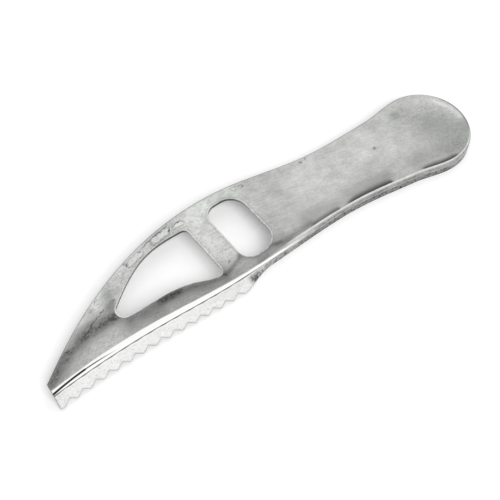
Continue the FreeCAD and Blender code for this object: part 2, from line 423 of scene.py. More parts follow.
# %% Outlines of the two openings
def leaf_loop():
    top_corner = (leaf_right - (leaf_top - leaf_foot) * bar_lean, leaf_top)
    level_at = leaf_rise[0] + (top_corner[0] - leaf_rise[0]) * leaf_level_share
    lower = smooth_line([leaf_point, (leaf_shoulder[0], leaf_floor), (leaf_rise[0], leaf_floor), leaf_drop,
                         (leaf_right - leaf_foot_run, leaf_foot + leaf_foot_rise), (leaf_right, leaf_foot)])
    side = np.array([(leaf_right, leaf_foot), top_corner])
    upper = smooth_line([leaf_point, leaf_shoulder, leaf_rise, (level_at, leaf_top), top_corner])[::-1]
    return rounded_loop([lower, side, upper], [leaf_foot_radius, leaf_top_radius, leaf_point_radius])


def slot_loop():
    x, y = slot_width / 2.0, slot_length / 2.0
    corners = np.array([(-x, -y), (x, -y), (x, y), (-x, y)])
    lean = math.atan(bar_lean)
    turned = np.stack([corners[:, 0] * math.cos(lean) - corners[:, 1] * math.sin(lean),
                       corners[:, 0] * math.sin(lean) + corners[:, 1] * math.cos(lean)], axis=1)
    placed = turned + np.array(slot_centre)
    sides = [np.array([placed[i], placed[(i + 1) % 4]]) for i in range(4)]
    return rounded_loop(sides, [slot_handle_radius, slot_handle_radius, slot_bar_radius, slot_bar_radius])


openings = [widened(leaf_loop(), opening_radius), widened(slot_loop(), opening_radius)]
ring_gaps = (0.22, 0.5, 0.8)
rings = [widened(hole, gap) for hole in openings for gap in ring_gaps]
print("points round the openings:", [len(loop) for loop in openings])

# %% [markdown]
# ## Filling the plan
# The top face is filled with even triangles between the first row of the wall and the openings. Blender
# has a constrained Delaunay triangulation for this: it keeps every edge that it is given. The lattice of
# inner points is finer over the wide slope of the toothed side, where the sheet curves. Points that lie
# too near a line are left out, so that no face is a splinter, and a few rings of points follow each
# opening, so that its rounded edge and the painted shade line beside it are drawn evenly.

# %% A lattice of points inside the outline
lattice_x_step = 0.85
slope_y_step, flat_y_step = 0.55, 0.95
slope_reach = 8.0
front_margin = 8.0
clearance = 0.42
merge_distance = 1e-5


def inside(points, loop):
    """Which points lie inside a closed line."""
    x, y = points[:, 0][:, None], points[:, 1][:, None]
    ax, ay = loop[:, 0][None, :], loop[:, 1][None, :]
    bx, by = np.roll(loop[:, 0], -1)[None, :], np.roll(loop[:, 1], -1)[None, :]
    crosses = (ay > y) != (by > y)
    level = np.where(by == ay, 1.0, by - ay)
    return (np.sum(crosses & (x < ax + (y - ay) * (bx - ax) / level), axis=1) % 2) == 1


def plan_lattice(outline, holes):
    rows = np.concatenate([np.arange(front_waist - front_margin, slope_reach, slope_y_step),
                           np.arange(slope_reach, crown, flat_y_step)])
    x = np.arange(edge_radius, handle_centre_at + end_radius, lattice_x_step)
    points = np.concatenate([np.stack([x + (i % 2) * lattice_x_step / 2.0, np.full(len(x), y)], axis=1)
                             for i, y in enumerate(rows)])
    points = points[inside(points, outline)]
    for hole in holes:
        points = points[~inside(points, hole)]
    lines = [resampled(np.vstack([loop, loop[:1]]), clearance / 2.0) for loop in [outline, *holes, *rings]]
    near = np.concatenate(lines)
    tree = kdtree.KDTree(len(near))
    for i, (x, y) in enumerate(near):
        tree.insert((x, y, 0.0), i)
    tree.balance()
    points = points[[tree.find((x, y, 0.0))[2] > clearance for x, y in points]]
    for ring in rings:
        points = points[~inside(points, ring)]
    return np.concatenate([points, *rings])


tip_edge_count = 6
last, first = wall_points[0, -1, :2], wall_points[0, 0, :2]
tip_edge = last + (first - last) * np.linspace(0.0, 1.0, tip_edge_count + 1)[1:-1, None]
plan_outline = np.concatenate([wall_points[0, :, :2], tip_edge])
lattice = plan_lattice(plan_outline, openings)
print("lattice points:", len(lattice))


# %% Triangles between the lines
def fill_plan(outline, holes, inner):
    """Points and triangles of the top face: the outline's points come first, then the holes'."""
    points = np.concatenate([outline, *holes, inner])
    edges, start = [], 0
    for loop in [outline, *holes]:
        count = len(loop)
        edges += [(start + i, start + (i + 1) % count) for i in range(count)]
        start += count
    made = geometry.delaunay_2d_cdt([Vector(p) for p in points], edges, [], 0, merge_distance)
    source = [found[0] if found else -1 for found in made[3]]
    triangles = np.array([[source[v] for v in face] for face in made[2]])
    triangles = triangles[(triangles >= 0).all(axis=1)]
    middle = points[triangles].mean(axis=1)
    keep = inside(middle, outline)
    for hole in holes:
        keep &= ~inside(middle, hole)
    return points, triangles[keep]


plan_points, plan_triangles = fill_plan(plan_outline, openings, lattice)
print("plan:", len(plan_points), "points and", len(plan_triangles), "triangles")

# %% [markdown]
# ## One outer face
# The plan gets its heights, and the wall's columns hang from its first row. The stamping has also
# settled a little: a press leaves a broad face gently wavy, which is what makes real sheet metal shimmer.
# That is real relief, a few hundredths of a millimetre deep, so it is in the mesh and not in the finish.

# %% Heights, waves and the wall's faces
wave_depth = 0.09
wave_length = 21.0
wave_squeeze = 1.6
wave_slice = 3.7
wave_fade = 6.0


def waves(x, y):
    """Downward sag of the top face: gentle, and gone at its edges."""
    fade = np.clip(from_outline(x, y) / wave_fade, 0.0, 1.0) ** 2
    swell = np.array([noise.noise(Vector((a / wave_length, wave_squeeze * b / wave_length, wave_slice)))
                      for a, b in zip(x, y)])
    return -wave_depth * fade * (0.5 + 0.5 * swell)


def wall_index(row, column):
    """Number of a wall point: its first row is the plan's outline."""
    if row == 0:
        return column
    return len(plan_points) + (row - 1) * column_count + column


def outer_face():
    x, y = plan_points.T
    height = top_surface(x, y)
    height[:column_count] = wall_points[0, :, 2]
    top = np.column_stack([x, y, height + waves(x, y)])
    points = np.concatenate([top, wall_points[1:].reshape(-1, 3)])
    faces = [tuple(t) for t in plan_triangles]
    for row in range(len(wall_points) - 1):
        for column in range(column_count - 1):
            faces.append((wall_index(row, column), wall_index(row + 1, column),
                          wall_index(row + 1, column + 1), wall_index(row, column + 1)))
    return points, faces


outer_points, outer_faces = outer_face()
print("outer face:", len(outer_points), "points,", len(outer_faces), "faces")


# %% The outer face's own edges, as loops of point numbers
def border_loops():
    """The rim round the outline, then the edge of each opening, all anticlockwise from above."""
    rows = len(wall_points) - 1
    rim = [wall_index(rows, column) for column in range(column_count)]
    rim += [wall_index(row, column_count - 1) for row in range(rows - 1, -1, -1)]
    rim += [column_count + i for i in range(len(tip_edge))]
    rim += [wall_index(row, 0) for row in range(rows)]
    loops, start = [rim], len(plan_outline)
    for hole in openings:
        loops.append(list(range(start, start + len(hole))))
        start += len(hole)
    return loops


loops = border_loops()
print("border loops:", [len(loop) for loop in loops])

# %% [markdown]
# ## Thickness and broken edges
# Solidify and Bevel could finish the sheet, but a bevel on thousands of short edges pinches at the
# corners of the teeth. The inner face is the outer one moved in along its normals by the wall, and each
# edge is a narrow band of rows that turns through a quarter circle, goes straight down the sheet's
# thickness and turns again. The openings' edges are worn rounder than those of the teeth. Each row
# also notes how much painted highlight and how much painted shade it gets, for the finish.

# %% Close the sheet with an inner face and rounded edges
edge_turns = (30.0, 60.0, 90.0)
# Per row of an edge, from the outer face round to the inner one: how much painted highlight (light caught
# by the rounded edge) and how much painted shade (the cut face in shadow) it gets. Edges of the openings
# that face the front get less highlight and more shade.
opening_highlight = (0.9, 1.0, 1.0, 0.4, 0.0, 0.6, 1.0, 0.5)
# painted shade on the cut faces, row by row
opening_cut = (0.0, 0.0, 0.2, 1.0, 1.0, 0.5, 0.0, 0.0)
rim_highlight = (0.0, 0.0, 0.0, 0.0, 0.0, 0.2, 0.5, 0.5)
rim_cut = (0.25, 0.4, 0.5, 0.65, 0.65, 0.4, 0.0, 0.0)
spared_in_front = 0.8
cut_at_back = 0.35
hair = 1e-6


def point_normals(points, faces):
    mesh = bpy.data.meshes.new("outer_only")
    mesh.from_pydata(points.tolist(), [], faces)
    mesh.update()
    normals = np.empty(len(points) * 3)
    mesh.vertices.foreach_get("normal", normals)
    bpy.data.meshes.remove(mesh)
    normals = normals.reshape(-1, 3)
    at_tip = points[:, 0] < edge_radius + hair
    normals[at_tip, 0] = 0.0
    return normals / np.linalg.norm(normals, axis=1)[:, None]


def edge_band(loop, normals, radius, outward_sign):
    """Rows of points that carry one edge from the outer face to the inner one."""
    p, n = outer_points[loop], normals[loop]
    ahead = np.roll(p, -1, axis=0) - np.roll(p, 1, axis=0)
    out = outward_sign * np.cross(ahead, n)
    out /= np.linalg.norm(out, axis=1)[:, None]
    rows = []
    for turn in np.radians(edge_turns):
        rows.append(p + radius * (math.sin(turn) * out - (1.0 - math.cos(turn)) * n))
    inner = p - wall * n
    for turn in np.radians(edge_turns[::-1]):
        rows.append(inner + radius * (math.sin(turn) * out + (1.0 - math.cos(turn)) * n))
    return rows, np.clip(-out[:, 1], 0.0, 1.0)


def closed_sheet():
    """Points and faces of the whole sheet, and how much painted highlight and painted shade each point of
    an edge gets.
    """
    normals = point_normals(outer_points, outer_faces)
    count = len(outer_points)
    points = [outer_points, outer_points - wall * normals]
    faces = list(outer_faces) + [tuple(i + count for i in reversed(face)) for face in outer_faces]
    edge_highlight, cut = [np.zeros(2 * count)], [np.zeros(2 * count)]
    total = 2 * count
    settings = [(edge_radius, 1.0, rim_highlight, rim_cut)]
    settings += [(opening_radius, -1.0, opening_highlight, opening_cut)] * len(openings)
    for loop, (radius, sign, row_highlight, row_cut) in zip(loops, settings):
        numbers = [np.array(loop)]
        rows, faces_front = edge_band(loop, normals, radius, sign)
        hidden = faces_front if sign < 0.0 else np.zeros(len(loop))
        for row, highlight_share, shade_share in zip(rows, row_highlight[1:], row_cut[1:]):
            points.append(row)
            edge_highlight.append(highlight_share * (1.0 - spared_in_front * hidden))
            opening_share = cut_at_back + (1.0 - cut_at_back) * hidden
            cut.append(shade_share * (np.ones(len(loop)) if sign > 0.0 else opening_share))
            numbers.append(np.arange(total, total + len(row)))
            total += len(row)
        numbers.append(np.array(loop) + count)
        edge_highlight[0][numbers[0]] = row_highlight[0] * (1.0 - spared_in_front * hidden)
        cut[0][numbers[0]] = row_cut[0]
        edge_highlight[0][numbers[-1]] = row_highlight[-1]
        for upper, lower in zip(numbers, numbers[1:]):
            for i in range(len(loop)):
                j = (i + 1) % len(loop)
                faces.append((int(upper[i]), int(lower[i]), int(lower[j]), int(upper[j])))
    return np.concatenate(points), faces, np.concatenate(edge_highlight), np.concatenate(cut)


sheet_points, sheet_faces, sheet_edge_highlight, edge_cut = closed_sheet()
print("sheet:", len(sheet_points), "points,", len(sheet_faces), "faces")


# %% Put the sheet where the frame has it
axis_y = cad_high.y - crown * MM


def to_frame(points):
    """Millimetres from the open tip and the axis, to metres in the frame."""
    return points * MM + np.array([cad_low.x, axis_y, 0.0])


print("axis of the scaler in the frame, mm:", round(axis_y / MM, 3))


# %% [markdown]
# ## Where the sheet is worn, and where light and shade are painted
# Some marks are the sheet's own: grime in smears and spots, green stains, and the patches where the surface
# has peeled on the back. Others are painted light: a painted highlight along the shoulder above the teeth,
# and painted shade along the ridge at the tip, under the leaf and on the handle's front roll. They could
# be painted on an image, but the large and soft ones fit on the points of the mesh: each is a stroke along
# a few points or a round spot, with a width in millimetres. The crisp marks come later in the finish,
# where they cost no faces.

# %% Soft strokes and spots on the plan
ridge_line = [(1.3, -2.6), (3.9, -1.2), (8.2, 1.8), (12.3, 3.6), (17.3, 5.5), (21.8, 6.2), (26.1, 6.7),
              (30.5, 7.1), (33.0, 7.3)]
under_leaf_line = [(36.5, 3.3), (42.8, 3.2), (50.0, 3.5), (56.5, 3.2), (61.0, 2.4), (68.0, 0.4),
                   (75.0, -0.8)]
bar_line = [(75.0, -0.6), (77.0, -0.5), (79.3, 0.5), (83.1, 2.0), (85.2, 4.0)]
neck_line = [(84.5, 2.5), (90.0, -0.6), (96.0, -0.2), (104.0, -0.6), (116.0, 0.4)]
# Dark strokes and spots are grime and painted shade together: the strokes along the ridge from the tip,
# from the tip towards the leaf, under the leaf's lower edge and along the handle's front roll are painted
# shade; the others and the spots are grime.
dark_strokes = [
    (ridge_line, 1.5, 0.40), (ridge_line, 4.2, 0.38), ([(19.0, 7.0), (32.0, 8.5)], 3.2, 0.42),
    ([(8.2, 1.8), (21.8, 5.6), (33.0, 6.6)], 2.0, 0.25),
    (under_leaf_line, 1.9, 0.50), (under_leaf_line, 4.5, 0.28), ([(49.5, 3.6), (57.0, 3.1)], 1.8, 0.5),
    (bar_line, 0.9, 0.50), (neck_line, 1.6, 0.48), ([(80.0, -2.2), (104.0, -1.6)], 2.2, 0.25),
    ([(94.0, 1.6), (103.0, 2.2)], 1.8, 0.30), ([(36.0, 0.5), (48.0, 0.2)], 2.4, 0.22),
    ([(95.6, 0.4), (98.2, 0.1), (100.8, -0.4)], 0.8, 0.6), ([(88.7, -3.0), (93.7, -2.4)], 0.7, 0.35),
    ([(116.0, 3.0), (130.0, 2.4)], 4.0, 0.30), ([(138.0, 3.0), (155.0, 1.6)], 4.2, 0.36),
    ([(172.0, 1.0), (190.0, -3.0)], 6.0, 0.30), ([(188.0, 12.0), (197.0, 3.0)], 9.0, 0.36),
    ([(1.3, -2.6), (8.2, 1.6)], 2.6, 0.35), ([(106.0, 10.0), (112.0, 20.0)], 9.0, 0.10),
    ([(102.0, -3.6), (94.0, -4.6), (85.0, -5.6)], 1.7, 0.85), ([(4.0, 1.5), (24.0, 10.5)], 2.2, 0.18),
]
dark_spots = [
    (31.9, 6.9, 1.0, 0.9), (32.6, 11.8, 1.5, 0.5), (34.4, 12.8, 1.3, 0.5), (34.8, 16.0, 2.4, 0.35),
    (26.2, 14.0, 1.1, 0.45), (11.4, 4.5, 1.0, 0.35), (53.0, 3.9, 1.7, 0.6), (178.3, 25.4, 2.6, 0.35),
    (160.0, 16.0, 0.9, 0.3), (200.5, 4.0, 3.5, 0.2),
]
green_spots = [
    (34.5, 15.5, 5.0, 0.6), (66.0, 28.0, 9.0, 0.55), (90.0, 30.5, 9.0, 0.8), (101.0, 30.0, 5.0, 0.5),
    (52.0, 3.5, 4.0, 0.7), (193.0, 6.0, 13.0, 0.75), (178.0, 25.0, 4.5, 0.6), (104.0, 2.0, 8.0, 0.35),
    (88.0, -1.0, 5.0, 0.4), (26.0, 14.0, 2.0, 0.8),
]
# Bright strokes: those along the back bend, from the tip past the crown and on the handle's back, and the
# one on the slope near the tip, are painted light where the sheet tilts towards it; the others lighten
# patches of the metal.
bright_strokes = [([(12.0, 6.5), (25.0, 14.0), (36.0, 21.5), (50.0, 27.5)], 2.4, 0.75),
                  ([(82.0, 30.0), (102.0, 31.0)], 3.8, 1.4), ([(62.0, 27.5), (76.0, 28.6)], 2.0, 0.8),
                  ([(197.5, 22.0), (200.6, 16.0), (201.2, 9.0)], 1.0, 1.8),
                  ([(78.0, 24.0), (81.0, 7.0)], 4.0, 0.5), ([(128.0, 12.0), (150.0, 16.0)], 8.0, 0.35),
                  ([(160.0, 10.0), (172.0, 4.0)], 5.0, 0.35), ([(104.0, 24.0), (122.0, 22.0)], 6.0, 0.35),
                  ([(14.0, -0.5), (30.0, 0.5)], 2.4, 0.35), ([(176.0, 30.0), (188.0, 30.5)], 3.0, 0.5)]
print("soft marks:", len(dark_strokes) + len(dark_spots) + len(green_spots) + len(bright_strokes))


# %% How strong the soft marks are at each place
def away_from(x, y, line):
    """Distance of places on the plan from a line of a few points."""
    nearest = np.full(len(x), np.inf)
    for (ax, ay), (bx, by) in zip(line, line[1:]):
        dx, dy = bx - ax, by - ay
        share = np.clip(((x - ax) * dx + (y - ay) * dy) / (dx * dx + dy * dy), 0.0, 1.0)
        nearest = np.minimum(nearest, np.hypot(x - ax - share * dx, y - ay - share * dy))
    return nearest


def painted(x, y, strokes, spots):
    """Soft marks joined together: each hides a share of what is left bare by the others."""
    bare = np.ones(len(x))
    for line, width, strength in strokes:
        bare *= 1.0 - strength * np.exp(-(away_from(x, y, line) / width) ** 2)
    for cx, cy, radius, strength in spots:
        bare *= 1.0 - strength * np.exp(-((x - cx) ** 2 + (y - cy) ** 2) / radius ** 2)
    return 1.0 - bare


def band_width(x):
    """How far the painted highlight above the teeth reaches in from the crease."""
    return guide([(0.0, 1.5), (26.0, 1.8), (40.0, 1.8), (52.0, 1.55), (61.0, 1.3), (70.0, 1.0), (78.0, 0.7),
                  (90.0, 0.45), (112.0, 0.35)], x)


tip_line_middle, tip_line_reach = 15.0, 14.0
tip_line_edge, tip_line_bow = 0.35, 0.45


def tip_line_inset(x):
    """The dark line of painted shade that runs inside the painted highlight near the tip."""
    return tip_line_edge + tip_line_bow * (1.0 - ((x - tip_line_middle) / tip_line_reach) ** 2)


print("polish, mm:", [round(float(band_width(x)), 2) for x in (0.0, hollow_at, last_tooth_at)])

# %% Every value that the finish reads
off_the_lines = 9.0
edge_inset = 3.0
edge_under = 0.3


def sheet_marks():
    """Every value that the finish reads, for each point of the sheet."""
    count = len(outer_points)
    extra = len(sheet_points) - 2 * count
    x, y = outer_points[:, 0], outer_points[:, 1]
    inset = from_outline(x, y)
    inset[len(plan_points):] = wall_inset[1:].ravel()
    front = np.where(y < (front_line(x) + back_line(x)) / 2.0, 1.0, 0.0)
    crease, bead, beside = np.zeros(count), np.zeros(count), np.zeros(count)
    row_of = np.full(count, 0)
    row_of[len(plan_points):] = np.repeat(np.arange(1, len(wall_points)), column_count)
    first_lip = len(bend_rows)
    flange_start = first_lip + len(lip_rows)
    crease[(row_of >= first_lip - 1) & (row_of <= flange_start)] = 1.0
    crease[row_of == flange_start + 1] = 0.8
    for i, (share, bulge) in enumerate(flange_rows):
        bead[row_of == flange_start + i] = bulge
    ring_start = len(plan_points) - sum(len(ring) for ring in rings)
    beside[ring_start:len(plan_points)] = np.concatenate(
        [np.full(len(ring), 1.0 if i % len(ring_gaps) == 1 else 0.0) for i, ring in enumerate(rings)])
    top_marks = {
        "inset": inset,
        "beside": beside,
        "front": front,
        "band": inset - band_width(x),
        "off_tip_line": inset - tip_line_inset(x),
        "crease": crease,
        "bead": bead * np.where(x < last_tooth_at + runout_length, 1.0, 0.0),
        "grime_and_shade": painted(x, y, dark_strokes, dark_spots),
        "green": painted(x, y, [], green_spots),
        "bright": painted(x, y, bright_strokes, []),
    }
    whole = {name: np.concatenate([values, values, np.zeros(extra)]) for name, values in top_marks.items()}
    whole["band"][2 * count:] = off_the_lines
    whole["off_tip_line"][2 * count:] = off_the_lines
    whole["inset"][2 * count:] = edge_inset
    whole["under"] = np.concatenate([np.zeros(count), np.ones(count), np.full(extra, edge_under)])
    whole["edge_highlight"] = sheet_edge_highlight
    whole["cut"] = edge_cut
    return whole


marks = sheet_marks()
print("values on each point:", ", ".join(marks))


# %% The piece itself
def build_scaler():
    mesh = bpy.data.meshes.new("pressed_sheet")
    mesh.from_pydata(to_frame(sheet_points).tolist(), [], sheet_faces)
    for name, values in marks.items():
        layer = mesh.attributes.new(name, "FLOAT", "POINT")
        layer.data.foreach_set("value", values.astype(np.float32))
    work = bmesh.new()
    work.from_mesh(mesh)
    bmesh.ops.recalc_face_normals(work, faces=work.faces)
    open_edges = sum(1 for edge in work.edges if len(edge.link_faces) != 2)
    volume = work.calc_volume() / MM ** 3
    work.to_mesh(mesh)
    work.free()
    mesh.shade_smooth()
    mesh.update()
    piece = bpy.data.objects.new("scaler_sheet", mesh)
    bpy.context.scene.collection.objects.link(piece)
    triangles = sum(len(face.vertices) - 2 for face in mesh.polygons)
    print("scaler_sheet:", triangles, "triangles,", open_edges, "open edges,", round(volume, 1), "mm3")
    return piece


scaler = build_scaler()
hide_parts("scaler_body")
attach(scaler, "root")

# %% [markdown]
# ## Shader maths that reads like Python
# A finish like this is mostly arithmetic on masks. Wiring dozens of Math nodes by hand hides the idea,
# so one small class stands for a socket and turns operators into nodes. Any other node comes from one
# method, which sets the node's own settings first and then its sockets.

# %% One value in a node tree
class Shade:
    """A value or a colour in a node tree: arithmetic on it adds the nodes."""

    def __init__(self, tree, socket=None):
        self.tree, self.socket = tree, socket

    def feed(self, made, inputs):
        """Give a node's sockets their values: another value is linked, and a number is set."""
        for name, value in inputs.items():
            if isinstance(value, Shade):
                self.tree.links.new(value.socket, made.inputs[name])
            else:
                made.inputs[name].default_value = value

    def node(self, kind, settings=None, inputs=None, output=0):
        made = self.tree.nodes.new(kind)
        for name, value in (settings or {}).items():
            setattr(made, name, value)
        self.feed(made, inputs or {})
        return Shade(self.tree, made.outputs[output])

    def math(self, operation, *values):
        return self.node("ShaderNodeMath", {"operation": operation}, dict(enumerate(values)))

    def __add__(self, other):
        return self.math("ADD", self, other)

    def __sub__(self, other):
        return self.math("SUBTRACT", self, other)

    def __mul__(self, other):
        return self.math("MULTIPLY", self, other)

    def __truediv__(self, other):
        return self.math("DIVIDE", self, other)

    def __radd__(self, other):
        return self.math("ADD", other, self)

    def __rsub__(self, other):
        return self.math("SUBTRACT", other, self)

    def __rmul__(self, other):
        return self.math("MULTIPLY", other, self)

    def __abs__(self):
        return self.math("ABSOLUTE", self)

    def clamp(self):
        return self.node("ShaderNodeClamp", None, {"Value": self})

    def ramp(self, start, end):
        """0 before start and 1 after end, with soft shoulders; start may lie past end."""
        low, high, first, last = (start, end, 0.0, 1.0) if start < end else (end, start, 1.0, 0.0)
        ends = {"From Min": low, "From Max": high, "To Min": first, "To Max": last}
        settings = {"interpolation_type": "SMOOTHSTEP"}
        return self.node("ShaderNodeMapRange", settings, {"Value": self, **ends})

    def mix(self, first, second):
        """This factor's mix of two colours."""
        return self.node("ShaderNodeMix", {"data_type": "RGBA", "clamp_factor": True},
                         {0: self, 6: first, 7: second}, output=2)

    def attribute(self, name):
        return self.node("ShaderNodeAttribute", {"attribute_name": name}, output="Fac")


print("shader class ready")

# %% [markdown]
# ## Worn satin aluminium, with painted light
# Real aluminium reflects about nine tenths of the light where it is polished, and roughly half of it
# where it is dull with oxide. The base colour carries the whole story, painted light included: dull grey
# on the top, painted highlights on the shoulder and the edges, painted shade along the ridge, the slope
# and the creases, and a darker green cast where water and scales dried.
# All patterns are procedural and use the piece's own coordinates, so they stay put from every side.

# %% Patterns in millimetres
metal = bpy.data.materials.new("worn_aluminium")
metal.use_nodes = True
surface = Shade(metal.node_tree)
place = surface.node("ShaderNodeTexCoord", output="Object")


def along_axis(name, origin):
    """One coordinate of the surface, in millimetres from an origin in the frame."""
    return (surface.node("ShaderNodeSeparateXYZ", None, {0: place}, output=name) - origin) / MM


def at_mm(x, y, z):
    return surface.node("ShaderNodeCombineXYZ", None, {"X": x, "Y": y, "Z": z})


def noise_of(where, size, detail=2.0, roughness=0.5):
    """Smooth noise around 0, whose lumps are about the given size in millimetres."""
    inputs = {"Vector": where, "Scale": 1.0 / size, "Detail": detail, "Roughness": roughness}
    return surface.node("ShaderNodeTexNoise", None, inputs) - 0.5


x_mm, y_mm, z_mm = along_axis("X", cad_low.x), along_axis("Y", axis_y), along_axis("Z", 0.0)
place_mm = at_mm(x_mm, y_mm, z_mm)
along_edge = at_mm(x_mm * 0.25 - y_mm * 0.18, y_mm * 1.1 - x_mm * 0.8, z_mm)
cloud = noise_of(place_mm, 24.0, 3.0)
blotch = noise_of(at_mm(x_mm + 40.0, y_mm, z_mm), 5.0, 4.0, 0.6)
mottle = noise_of(at_mm(x_mm, y_mm + 70.0, z_mm), 1.6, 3.0, 0.6)
grain = noise_of(place_mm, 0.65, 2.0, 0.7)
brushed = noise_of(at_mm(x_mm * 0.12, y_mm * 2.2 + x_mm * 0.18, z_mm), 1.0, 3.0, 0.6)
crossed = noise_of(at_mm(x_mm * 0.5 + y_mm * 1.4, y_mm * 0.16 - x_mm * 0.12, z_mm), 1.0, 3.0, 0.6)

inset, front, band, beside = map(surface.attribute, ("inset", "front", "band", "beside"))
off_tip_line, crease, bead, grime_and_shade = map(surface.attribute, ("off_tip_line", "crease", "bead", "grime_and_shade"))
green, bright, under, edge_highlight, cut = map(surface.attribute, ("green", "bright", "under", "edge_highlight", "cut"))
print("patterns:", len(metal.node_tree.nodes), "nodes")

# %% [markdown]
# ## Crisp marks
# Cracks, specks, scratches and the edges of the peeled patches are finer than any face. They could be
# painted on an image, but then they would blur up close. Here each is the distance from a short line,
# read through a ramp, so that it stays sharp at any size. Noise added to the place makes its edge wander.

# %% Distance from a short line
wander_size, wander_reach = 1.5, 3.0
wander_x = noise_of(at_mm(x_mm + 11.0, y_mm, z_mm), wander_size, 4.0, 0.65) * wander_reach
wander_y = noise_of(at_mm(x_mm, y_mm + 23.0, z_mm), wander_size, 4.0, 0.65) * wander_reach
x_wander, y_wander = x_mm + wander_x, y_mm + wander_y


def from_line(a, b, x=x_mm, y=y_mm):
    """Distance of the surface from the line between two places on the plan."""
    (ax, ay), (bx, by) = a, b
    dx, dy = bx - ax, by - ay
    length = dx * dx + dy * dy
    share = (((x - ax) * dx + (y - ay) * dy) / length).clamp()
    off_x = x - ax - share * dx
    off_y = y - ay - share * dy
    return surface.math("SQRT", off_x * off_x + off_y * off_y)


def from_torn_line(a, b):
    """The same distance, from a line whose edges wander."""
    return from_line(a, b, x_wander, y_wander)


def crest_shade(start_x, end_x, depth):
    """A painted shade that lies on the crest: sharp below it, feathered above, growing towards its end."""
    x = x_mm + blotch * 3.0
    ends = x.ramp(start_x, start_x + (end_x - start_x) * 0.4) * x.ramp(end_x + 0.5, end_x - 4.0)
    above = inset - 1.0
    feather = (above / (ends * 0.7 + 0.3)).ramp(depth * 1.5, 0.0)
    return ends.ramp(0.0, 0.6) * above.ramp(-0.25, 0.15) * feather


def joined_marks(marks):
    """The strongest of several masks at each place."""
    whole = marks[0]
    for mark in marks[1:]:
        whole = surface.math("MAXIMUM", whole, mark)
    return whole


print("wander of the edges, mm:", wander_reach / 2.0)

# %% Patches, cracks, specks and scratches
peeled_patches = [((60.8, 27.0), (67.0, 28.3), 1.05), ((69.2, 28.6), (74.0, 28.4), 0.8),
                  ((48.0, 23.2), (54.0, 25.6), 0.9), ((99.5, 30.6), (103.0, 30.3), 0.45)]
dark_cracks = [((56.2, 27.2), (62.0, 29.0)), ((62.0, 29.0), (68.5, 30.4)), ((69.8, 28.4), (73.9, 30.1)),
               ((28.6, 16.2), (30.4, 17.4)), ((101.1, 30.7), (103.8, 30.2)), ((68.0, 27.4), (69.0, 29.2)),
               ((18.6, 5.9), (24.6, 9.3)), ((24.6, 9.3), (30.6, 12.2))]
specks = [(53.8, 25.9), (47.1, 23.4), (46.1, 24.5), (130.5, 27.3), (160.1, 16.2), (133.0, 27.8),
          (11.6, 4.5), (22.9, 7.4), (35.4, 13.4), (88.0, 3.5), (79.5, 3.4)]
scratches = [((100.3, 20.2), (101.8, 20.6)), ((101.1, 17.4), (103.0, 12.6)), ((101.9, 9.1), (103.2, 7.2)),
             ((106.0, 10.2), (110.7, 7.3)), ((112.0, 16.0), (119.0, 12.0)), ((150.0, 5.0), (171.0, 8.0)),
             ((163.0, 18.5), (181.0, 17.5)), ((167.0, 12.5), (186.0, 16.0)), ((187.0, -1.0), (199.0, 14.0)),
             ((176.0, 21.0), (190.0, 21.5)), ((120.0, 20.0), (131.0, 23.5)), ((186.0, 9.0), (191.0, 2.0))]
# painted shade: dark reflections on the handle's front roll, above its crest
crest_shades = [(113.0, 131.5, 1.5, 0.75), (130.0, 157.0, 2.0, 0.97), (167.0, 187.5, 1.7, 0.95)]
patch_gap = [from_torn_line(a, b) - width for a, b, width in peeled_patches]
peeled = joined_marks([gap.ramp(0.25, -0.25) for gap in patch_gap])
peeled_rim = joined_marks([abs(gap - 0.35).ramp(0.32, 0.05) for gap in patch_gap])
peeled_rim = peeled_rim * (mottle * 3.0 + 0.7).clamp()
cracks = joined_marks([from_torn_line(a, b).ramp(0.38, 0.08) for a, b in dark_cracks])
speckled = joined_marks([from_torn_line((x, y), (x + 0.3, y + 0.1)).ramp(0.75, 0.1) for x, y in specks])
scratched = joined_marks([from_line(a, b).ramp(0.22, 0.04) for a, b in scratches])
print("crisp marks:", len(peeled_patches) + len(dark_cracks) + len(specks) + len(scratches))

# %% [markdown]
# ## Where each finish lies
# One sheet wears differently from place to place. Separate materials would meet in hard lines, so a
# single material gets masks instead: each says how much of a place belongs to the painted highlight on
# the shoulder, the flange, the handle's skirt or a rim. They are read from the values on the mesh and
# from the place along X.

# %% Masks of the polish, the flange, the skirt and the rims
flange_ends = (112.0, 92.0)
highlight_ends = (122.0, 96.0)
blade_ends = (120.0, 80.0)
far_end_starts = (165.0, 195.0)
crest_inset, back_rim_inset = 0.7, 0.55

outside = 1.0 - under.ramp(0.5, 0.9)
on_front = front.ramp(0.4, 0.6) * outside
blade_share = x_mm.ramp(*flange_ends)
blade, far_end = x_mm.ramp(*blade_ends), x_mm.ramp(*far_end_starts)
on_flange = on_front * inset.ramp(0.02, -0.05) * blade_share
on_skirt = on_front * (1.0 - blade_share)
# painted highlight: the bright band along the rolled shoulder above the teeth, which is also a little
# smoother
shoulder_highlight = on_front * (band + blotch * 0.3).ramp(0.22, -0.25) * inset.ramp(-0.2, 0.0) \
    * x_mm.ramp(*highlight_ends)
tip_shade_line = on_front * (abs(off_tip_line) + x_mm.ramp(13.5, 14.5) * 0.14).ramp(0.4, 0.2) \
    * x_mm.ramp(29.0, 17.0) * inset.ramp(-0.1, 0.1)
# painted highlight: where the handle's skirt bends, at its crest and at its fold
crest = on_skirt * abs(inset - crest_inset).ramp(0.38, 0.08) * x_mm.ramp(201.0, 195.0)
fold = on_skirt * abs(z_mm - handle_crease).ramp(0.35, 0.1) * inset.ramp(0.15, -0.05)
low_skirt = on_skirt * inset.ramp(0.45, 0.15)
# painted shade on the round end's bend and on the back bend
end_rim = outside * x_mm.ramp(199.0, 202.0) * inset.ramp(1.7, 1.1)
back_rim = (1.0 - on_front) * outside * abs(inset - back_rim_inset).ramp(0.6, 0.2)
